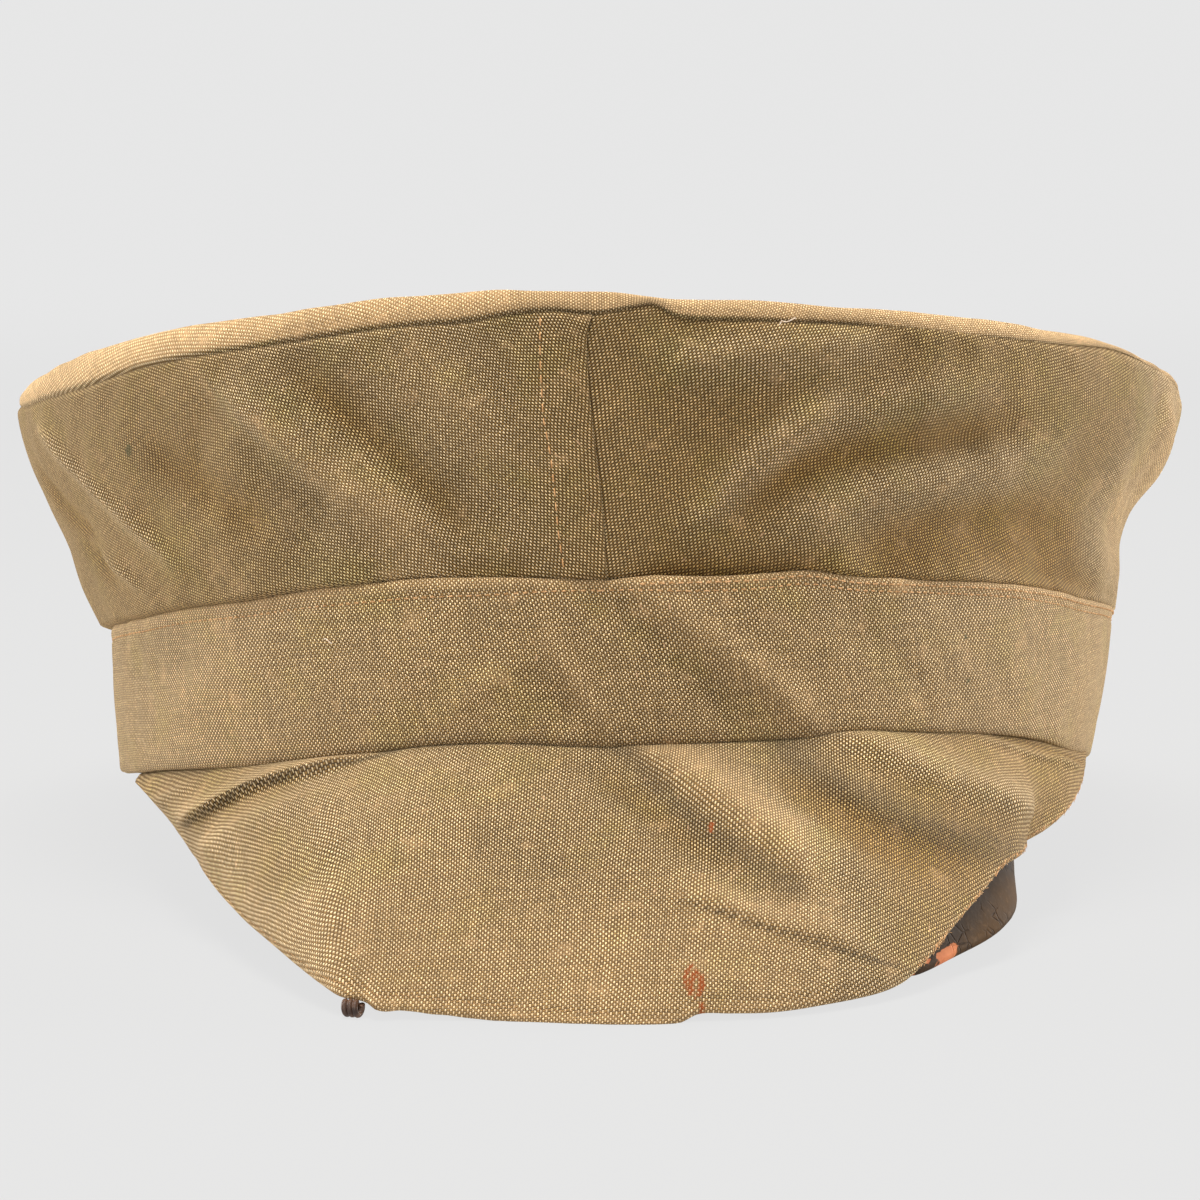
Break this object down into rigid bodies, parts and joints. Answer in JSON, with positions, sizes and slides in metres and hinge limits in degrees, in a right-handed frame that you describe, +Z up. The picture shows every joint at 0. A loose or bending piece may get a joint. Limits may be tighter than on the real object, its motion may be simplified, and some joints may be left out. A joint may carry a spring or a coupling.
{
  "type": "peaked cap",
  "caption": "Soft cloth peaked cap: flared crown with a flat top, upright band, and a leather peak under a slipped cloth cover, lying as it rests.",
  "frame": {"origin": "on the surface the cap rests on, under the middle of the cap's outline seen from above", "axes": "+Z up, -Y to the front where the peak is, +X to the right of someone who faces the front"},
  "size_m": [0.2089, 0.2535, 0.1047],
  "materials": {
    "cloth": "plain-woven khaki cotton and linen, faded, matt",
    "top_cloth": "the same khaki cloth, more faded along the rim",
    "peak_leather": "dark brown leather, cracked and rubbed to tan at the edge",
    "loop_leather": "brown wound thong, worn along its ridges"
  },
  "bodies": {
    "root": {"crown_top": "top_cloth", "crown_side_left": "cloth", "crown_side_right": "cloth", "band": "cloth", "peak": "peak_leather", "peak_cover": "cloth", "peak_loop": "loop_leather"}
  },
  "joints": []
}
